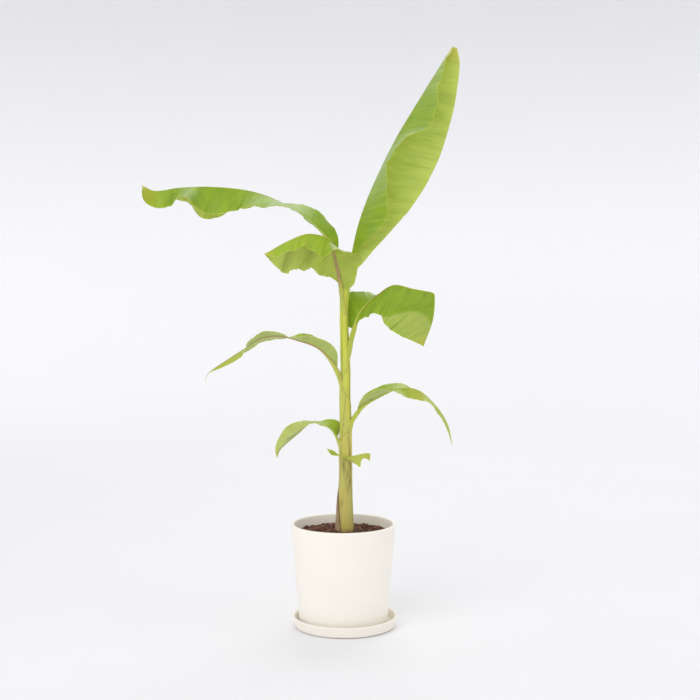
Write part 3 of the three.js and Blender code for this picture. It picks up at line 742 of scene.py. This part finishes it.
def chip_material(name, base, pale):
    s = Shade(name, 0.85)
    fibres = s.noise((300, 300, 1200), 4)
    patches = s.noise((160, 160, 160), 3)
    s.colour = s.mix(s.band(patches, 0.38, 0.64), base, pale)
    s.tint(s.band(fibres, 0.5, 0.7), 0.5, darker(base, 0.5))
    s.bump(fibres, 0.0012, 0.8)
    return s.finish()


# ------------ pseudostem

# Stations of the stem: at a height, the x of its middle and its radius.
STEM = {184: (2.7, 18.0), 194: (2.7, 17.2), 210: (2.8, 15.9), 239: (3.4, 14), 267: (3.5, 12.8),
        305: (4.2, 11.8), 349: (4.2, 11.4), 400: (3.7, 10.4), 438: (3.2, 9.9), 470: (3.6, 9.4),
        495: (4.0, 9.1), 520: (3.2, 8.7), 552: (2.3, 8.3), 585: (1.3, 8.2), 622: (0.9, 8.0),
        643: (0.8, 7.9), 660: (0.2, 6.6)}
STEM_FOOT, STEM_TOP = min(STEM), max(STEM)
# Edges of the rolled leaf sheaths, as degrees round the stem (-90 is the front) against height:
# azimuth at the foot, at the head, the two heights, and how far the sheath stands out.
SHEATHS = [
    (-178, -112, 184, 330, 0.9), (-20, -64, 186, 386, 1.0), (-150, -84, 240, 452, 0.8),
    (-38, -76, 300, 372, 0.7), (-8, -52, 372, 520, 0.9), (-170, -128, 330, 470, 0.7),
    (40, 96, 190, 400, 0.9), (150, 96, 300, 560, 0.8), (70, 130, 420, 600, 0.7),
    (-128, -104, 470, 640, 0.5), (-20, -48, 520, 640, 0.5),
]
# Bruises: azimuth, height, spread round the stem in degrees, spread in height, depth.
BRUISES = [
    (-105, 311, 9, 12, 1.0), (-48, 283, 8, 8, 1.0), (-64, 268, 13, 8, 0.5),
    (-72, 294, 26, 22, 0.35), (-118, 240, 10, 9, 0.35), (60, 262, 14, 9, 0.8),
    (150, 300, 16, 12, 0.7), (100, 220, 12, 9, 0.5),
]
# Mouths of the sheaths, under the leaf stalks: azimuth of the stalk, height there, the drop to the
# far side, and how far the sheath below stands out.
MOUTHS = [(0, 528, 64, 0.7), (180, 486, 58, 0.8), (0, 396, 40, 0.8), (180, 352, 46, 0.7)]
SKIN = 0.4  # how far the bare skin lies inside the stations' radius
DAMP_TO = 196  # the stem's foot is damp up to this height


def stem_axis(z):
    """x of the stem's middle and its radius, at heights z."""
    return through(STEM, z).T


def round_from(turn, azimuth):
    """Degrees round the stem from an azimuth, between -180 and 180."""
    return (turn - azimuth + 180) % 360 - 180


def build_stem(material):
    rows, columns = 420, 128
    z = np.linspace(STEM_FOOT - 3, STEM_TOP + 6, rows)
    x, radius = stem_axis(z)
    angle = np.linspace(-math.pi, math.pi, columns, endpoint=False)[None, :]
    turn = np.degrees(angle)
    out, seam, shade, bruise = np.zeros((4, rows, columns))
    for foot, head, low, high, height in SHEATHS:
        climb = ((z - low) / (high - low))[:, None]
        edge = foot + (head - foot) * np.clip(climb, 0, 1) ** 1.4
        bend = 3.0 * np.sin(z / 17 + foot)[:, None]
        across = round_from(turn, edge + bend)
        span = smoothstep(-0.02, 0.06, climb) * smoothstep(1.02, 0.93, climb)
        rise = np.where(across > 0, np.exp(-across / 55), 0) * smoothstep(0, 3.0, across)
        out += height * rise * span
        seam += 0.75 * hump(across, 0.5, 2.2) * span
        shade += 0.5 * np.where(across < 0, np.exp(across / 9), 0) * span
    for azimuth, head, drop, height in MOUTHS:
        around = np.abs(round_from(turn, azimuth)) / 180
        above = z[:, None] - head + drop * around**0.7 + 1.5 * np.sin(angle * 5 + head)
        out += height * smoothstep(0.9, -0.6, above) * np.exp(np.minimum(above, 0) / 70)
        seam += 0.2 * hump(above, 0.4, 1.1) * smoothstep(1, 0.7, around)
        shade += 0.45 * np.where(above > 0, np.exp(-above / 5), 0)
    for azimuth, level, wide, tall, depth in BRUISES:
        around = round_from(turn, azimuth)
        bruise += depth * hump(around, 0, wide) * hump(z, level, tall)[:, None]
    rng = np.random.default_rng(5)
    ribs = sum(rng.uniform(0.02, 0.07) * np.sin(angle * k + rng.uniform(0, 6.3))
               for k in range(9, 40, 3))
    rings = sum(rng.uniform(0.02, 0.06) * np.sin(z[:, None] / p + rng.uniform(0, 6.3)
                                              + angle * rng.integers(1, 3))
                for p in (4.5, 7.3, 12.1, 19.0))
    grown = radius[:, None] + out + ribs + rings - SKIN
    top = smoothstep(z[-1] - 3, z[-1], z)[:, None]
    grown = grown * (1 - 0.35 * top)
    verts = np.stack([x[:, None] + grown * np.cos(angle), grown * np.sin(angle),
                      np.broadcast_to(z[:, None], grown.shape)], -1).reshape(-1, 3)
    faces = tube_faces(rows, columns)
    obj = new_object("pseudostem_skin", verts, faces, [material], 60)
    mask(obj, "height", np.linspace(0, 1, rows).repeat(columns))
    mask(obj, "seam", np.clip(seam, 0, 0.9))
    mask(obj, "shade", np.clip(shade, 0, 0.7))
    mask(obj, "bruise", np.clip(bruise, 0, 1))
    mask(obj, "foot", 0.55 * smoothstep(DAMP_TO, STEM_FOOT, z).repeat(columns))
    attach(obj, "root")
    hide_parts("pseudostem")


OLD_SHEATH_SPAN = (183, 262)
OLD_SHEATH_AZIMUTH = 199
OLD_SHEATH_THICKNESS = 0.7


def build_old_sheath(material):
    """The dry brown scale that wraps the left of the stem's foot, with a torn upper edge."""
    rows, columns = 90, 48
    rng = np.random.default_rng(12)
    foot, head = OLD_SHEATH_SPAN
    part = np.linspace(0, 1, rows)
    across = np.linspace(-1, 1, columns)
    torn = 3.5 * np.sin(across * 9 + 1) + 2.2 * np.sin(across * 23) + rng.normal(0, 0.5, columns)
    reach = 48 * (1 - 0.6 * part**1.5)
    z = foot + (head - foot) * part[:, None] + torn[None, :] * part[:, None] ** 3
    z = z - 26 * across[None, :] ** 2 * part[:, None]
    x, radius = (values.reshape(z.shape) for values in stem_axis(z.ravel()))
    angle = np.radians(OLD_SHEATH_AZIMUTH + reach[:, None] * across[None, :])
    crinkle = (0.35 * np.sin(angle * 34) + 0.25 * np.sin(angle * 71 + z / 9)
               + 0.3 * np.sin(z / 3.1 + angle * 5))
    lift = 0.9 + 0.5 * np.abs(across[None, :]) ** 6 + crinkle * 0.35 + 0.5 * part[:, None] ** 4
    inner, outer = (np.stack([x + grown * np.cos(angle), grown * np.sin(angle), z], -1)
                    for grown in (radius + lift, radius + lift + OLD_SHEATH_THICKNESS))
    ring = np.concatenate([outer, inner[:, ::-1]], 1)
    width = ring.shape[1]
    faces = ring_faces(rows, width)
    for row, flip in ((0, True), (rows - 1, False)):
        for j in range(columns - 1):
            a, b = row * width + j, row * width + j + 1
            c, d = row * width + width - 2 - j, row * width + width - 1 - j
            faces.append((d, c, b, a) if flip else (a, b, c, d))
    obj = new_object("old_sheath_skin", ring.reshape(-1, 3), faces, [material], 40)
    rim = np.maximum(np.abs(across)[None, :] ** 14, part[:, None] ** 12)
    mask(obj, "brim", np.concatenate([rim, rim[:, ::-1]], 1))
    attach(obj, "root")
    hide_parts("old_sheath")


# ------------ planter, saucer and soil

POT_FOOT, POT_FLOOR, POT_TOP = 6.3, 15.3, 200.3
POT_BASE_RADIUS, POT_RIM_RADIUS = 84.5, 100
POT_BASE_WALL, POT_WALL = 5.2, 5.7
SAUCER_FLOOR, SAUCER_TOP = 5.9, 22
SAUCER_RADIUS, SAUCER_WALL = 101.2, 4.6
SAUCER_MIDDLE = (2.8, 0)
AXIS = 0.4  # turned profiles stop this far from their axis
TURNED_STEP = 7  # stretches of a profile are parted into steps of at least this length
TURNED_SEGMENTS = 192


def turned(name, profile, material, node, middle=(0, 0)):
    """A solid turned round an upright axis, from a closed profile of (radius, height)."""
    profile = np.array(profile, float)
    spread = []
    for a, b in zip(profile, np.roll(profile, -1, 0)):
        steps = max(1, int(np.linalg.norm(b - a) / TURNED_STEP))
        spread += [a + (b - a) * k / steps for k in range(steps)]
    r, z = np.array(spread).T
    verts = [np.stack([middle[0] + r * math.cos(angle), middle[1] + r * math.sin(angle), z], -1)
             for angle in np.linspace(0, math.tau, TURNED_SEGMENTS, endpoint=False)]
    n = len(spread)
    faces = []
    for i in range(TURNED_SEGMENTS):
        following = (i + 1) % TURNED_SEGMENTS
        for j in range(n):
            k = (j + 1) % n
            faces.append((i * n + j, following * n + j, following * n + k, i * n + k))
    obj = new_object(name, np.concatenate(verts), faces, [material], 38)
    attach(obj, "root")
    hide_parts(node)


def rounded(corners, radii, steps=5):
    """A closed outline with a corner radius for each corner."""
    corners = np.array(corners, float)
    outline = []
    for i, here in enumerate(corners):
        if radii[i] <= 0:
            outline.append(here)
            continue
        before, after = corners[i - 1] - here, corners[(i + 1) % len(corners)] - here
        reach = min(radii[i], 0.49 * np.linalg.norm(before), 0.49 * np.linalg.norm(after))
        start, end = here + unit(before) * reach, here + unit(after) * reach
        for t in np.linspace(0, 1, steps + 1):
            outline.append((1 - t) ** 2 * start + 2 * t * (1 - t) * here + t**2 * end)
    return outline


def build_planter():
    glaze = glaze_material("planter_glaze", (0.955, 0.912, 0.82), (0.92, 0.87, 0.765))
    corners = [[AXIS, POT_FOOT], [POT_BASE_RADIUS, POT_FOOT], [POT_RIM_RADIUS, POT_TOP],
               [POT_RIM_RADIUS - POT_WALL, POT_TOP], [POT_BASE_RADIUS - POT_BASE_WALL, POT_FLOOR],
               [AXIS, POT_FLOOR]]
    turned("planter", rounded(corners, [0, 4.5, 2.8, 2.8, 6, 0]), glaze, "pot")


def build_saucer():
    glaze = glaze_material("saucer_glaze", (0.945, 0.895, 0.805), (0.91, 0.855, 0.75))
    corners = [[AXIS, 0], [91, 0], [96, 2.2], [SAUCER_RADIUS, SAUCER_TOP],
               [SAUCER_RADIUS - SAUCER_WALL, SAUCER_TOP], [91.8, SAUCER_FLOOR],
               [AXIS, SAUCER_FLOOR]]
    turned("saucer_dish", rounded(corners, [0, 2.5, 3.5, 2.3, 2.3, 3.5, 0]), glaze, "saucer",
           middle=SAUCER_MIDDLE)


SOIL_RADIUS, SOIL_TOP, SOIL_DISH = 92.6, 184.2, 4.6
# The hidden body of the mix below its surface: radius, height.
SOIL_BODY = [(92, 176), (89.6, 150), (82.4, 60), (78.8, 16.5), (0.5, 16.5)]
CHIP_SIDES = 7
CHIP_LAYERS = ((-1, 0.72), (-0.35, 1.0), (0.45, 0.95), (1, 0.6))  # height and girth, as shares
# Bark chips: how many, their seed, the shortest and longest, and their two colours.
CHIPS = {
    "dark": (900, 1, (4.0, 8.5), (0.075, 0.03, 0.018), (0.13, 0.06, 0.036)),
    "red": (650, 2, (4.0, 9.5), (0.17, 0.07, 0.038), (0.25, 0.115, 0.065)),
    "tan": (150, 3, (3.5, 7.0), (0.34, 0.2, 0.115), (0.44, 0.28, 0.17)),
}
CHIP_REACH = 92  # how far out chips lie
STEM_CLEARANCE = 18.5  # and how far from the middle of the stem


def build_soil(material):
    """The surface of the potting mix, uneven, with its hidden body below it."""
    rng = np.random.default_rng(3)
    rings, columns = 60, 180
    radius = np.linspace(0, 1, rings) ** 0.8 * SOIL_RADIUS
    turn = np.linspace(0, math.tau, columns, endpoint=False)
    x = radius[:, None] * np.cos(turn)
    y = radius[:, None] * np.sin(turn)
    z = SOIL_TOP - SOIL_DISH * (radius[:, None] / SOIL_RADIUS) ** 2
    for _ in range(26):
        wave = rng.uniform(5, 26)
        angle = rng.uniform(0, math.tau)
        z = z + 0.096 * wave**0.5 * np.sin(
            (x * math.cos(angle) + y * math.sin(angle)) * math.tau / wave + rng.uniform(0, 6.3))
    z = z + 2.4 * hump(radius[:, None], 17, 9)
    below = [np.stack([r * np.cos(turn), r * np.sin(turn), np.full(columns, height)], -1)
             for r, height in SOIL_BODY]
    verts = np.concatenate([np.stack([x, y, z], -1).reshape(-1, 3), *below])
    faces = [tuple(reversed(f)) for f in tube_faces(rings + len(SOIL_BODY), columns)]
    obj = new_object("potting_mix", verts, faces, [material], 60)
    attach(obj, "root")
    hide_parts("soil")

    def height_at(px, py):
        r = math.hypot(px, py)
        i = min(rings - 1, int(np.searchsorted(radius, r)))
        j = int(round(math.atan2(py, px) / math.tau * columns)) % columns
        return z[i, j]

    return height_at


def build_chips(name, count, seed, sizes, material, height_at):
    """Bark chips strewn over the potting mix, joined in one piece."""
    rng = np.random.default_rng(seed)
    corners, faces = [], []
    for _ in range(count):
        r = CHIP_REACH * math.sqrt(rng.uniform(0, 1))
        a = rng.uniform(0, math.tau)
        px, py = r * math.cos(a), r * math.sin(a)
        if math.hypot(px - STEM[STEM_FOOT][0], py) < STEM_CLEARANCE:
            continue
        length, wide, thick = rng.uniform(*sizes), rng.uniform(0.35, 0.75), rng.uniform(0.22, 0.5)
        yaw, pitch, roll = rng.uniform(0, math.tau), rng.normal(0, 0.35), rng.normal(0, 0.5)
        spin = np.array((Matrix.Rotation(yaw, 3, "Z") @ Matrix.Rotation(pitch, 3, "Y")
                         @ Matrix.Rotation(roll, 3, "X")))
        turn = np.linspace(0, math.tau, CHIP_SIDES, endpoint=False) + rng.uniform(0, 1)
        local = []
        for layer, girth in CHIP_LAYERS:
            for t in turn:
                bulk = girth * (1 + rng.uniform(-0.18, 0.18))
                local.append([math.cos(t) * bulk, math.sin(t) * bulk * wide,
                              (layer + rng.uniform(-0.15, 0.15)) * thick])
        seat = height_at(px, py) + length * thick * 0.28
        limit = SOIL_RADIUS - length * 0.45
        if r > limit:
            px, py = px * limit / r, py * limit / r
        placed = np.array(local) * length / 2 @ spin.T + np.array([px, py, seat])
        first = len(corners) * len(local)
        corners.append(placed)
        faces += tube_faces(len(CHIP_LAYERS), CHIP_SIDES, first)
    obj = new_object(name, np.concatenate(corners), faces, [material], 30)
    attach(obj, "root")


# ------------ building it

LOW_LEAVES = (5, 6, 7, 8)
TOPS = {3: BENT_TOP, 7: FADED_TOP}
UNDERS = {1: LIT_UNDER}
RIBS = {3: BENT_RIB, 4: DULL_RIB, 5: PINK_RIB}
for number, leaf in LEAVES.items():
    low = number in LOW_LEAVES
    top = TOPS.get(number, LOW_TOP if low else GREEN_TOP)
    under = UNDERS.get(number, LOW_UNDER if low else GREEN_UNDER)
    build_blade(number, leaf, top, under)
    build_rib(number, leaf, RIBS.get(number, LIME_RIB))

build_stem(stem_material())
build_old_sheath(dry_material())
build_planter()
build_saucer()
soil_height = build_soil(chip_material("potting_mix", (0.055, 0.024, 0.014), (0.105, 0.05, 0.028)))
for kind, (count, seed, sizes, base, pale) in CHIPS.items():
    bark = chip_material(f"bark_{kind}", base, pale)
    build_chips(f"bark_chips_{kind}", count, seed, sizes, bark, soil_height)

# ------------ floor, light and camera

WALL_GLOW = 0.2  # strength of the wall's own light
FLOOR_PALE, FLOOR_DIM = (0.9, 0.9, 0.915), (0.86, 0.86, 0.875)
FLOOR_REACH, FLOOR_BEND, WALL_TOP = 4600, 1600, 3400


def build_backdrop():
    """A pale round floor that curves up on all sides into a low wall, softly lit far out."""
    s = Shade("backdrop", 0.9)
    grain = s.noise((3, 3, 3), 2)
    apart = s.node("ShaderNodeSeparateXYZ")
    where = s.node("ShaderNodeVectorMath", operation="LENGTH")
    position = s.place((1, 1, 1))
    s.link(position, apart.inputs[0])
    s.link(position, where.inputs[0])
    glow = s.times(s.band(where.outputs["Value"], 1.2, 4.4), s.band(apart.outputs["Z"], 2.1, 0.5))
    s.surface.inputs["Emission Color"].default_value = (1, 1, 1, 1)
    s.put(s.times(glow, WALL_GLOW), s.surface.inputs["Emission Strength"])
    s.colour = s.mix(s.times(grain, 0.4), FLOOR_PALE, FLOOR_DIM)
    material = s.finish()
    steps, columns = 24, 96
    flat = FLOOR_REACH - FLOOR_BEND
    profile = [(r, 0.0) for r in (1.0, 400, 1000, 2000, flat)]
    for k in range(1, steps + 1):
        angle = math.pi / 2 * k / steps
        profile.append((flat + FLOOR_BEND * math.sin(angle), FLOOR_BEND * (1 - math.cos(angle))))
    profile.append((FLOOR_REACH, WALL_TOP))
    turn = np.linspace(0, math.tau, columns, endpoint=False)
    verts = [(r * math.cos(t), r * math.sin(t), z) for r, z in profile for t in turn]
    faces = [tuple(reversed(f)) for f in ring_faces(len(profile), columns)]
    faces.append(tuple(range(columns)))
    obj = new_object("backdrop", verts, faces, [material])


CAMERA_PLACE = (-0.00065, -2.656, 0.73)
CAMERA_DIP, CAMERA_TURN = 0.074, -0.005  # radians below level, and to the side
CAMERA_LENS = 72


def area_light(name, place, target, size, power, tint=(1, 1, 1)):
    """A rectangular light in metres and watts, turned to a target."""
    light = bpy.data.lights.new(name, "AREA")
    light.shape = "RECTANGLE"
    light.size, light.size_y = size
    light.energy = power
    light.color = tint
    obj = add_object(name, light)
    obj.location = place
    obj.rotation_euler = (Vector(target) - Vector(place)).to_track_quat("-Z", "Y").to_euler()


build_backdrop()
area_light("key", (-1.5, -2.5, 2.4), (0, 0, 0.5), (2.6, 2.6), 37, (1.0, 0.99, 0.97))
area_light("side", (2.4, -0.6, 1.9), (0, 0, 0.6), (2.4, 2.4), 8)
area_light("rear", (0.5, 1.9, 2.6), (0, 0, 0.8), (2.4, 1.6), 22, (1.0, 0.99, 0.96))
world = bpy.data.worlds.new("studio")
world.use_nodes = True
sky = world.node_tree.nodes["Background"]
sky.inputs["Color"].default_value = (0.97, 0.975, 1.0, 1)
sky.inputs["Strength"].default_value = 0.69
scene.world = world

camera_data = bpy.data.cameras.new("camera")
camera_data.lens = CAMERA_LENS
camera_data.sensor_width = 36
camera_data.clip_end = 30
camera = add_object("camera", camera_data)
camera.location = CAMERA_PLACE
camera.rotation_euler = (math.pi / 2 - CAMERA_DIP, 0, CAMERA_TURN)
scene.camera = camera
scene.view_settings.view_transform = "Standard"
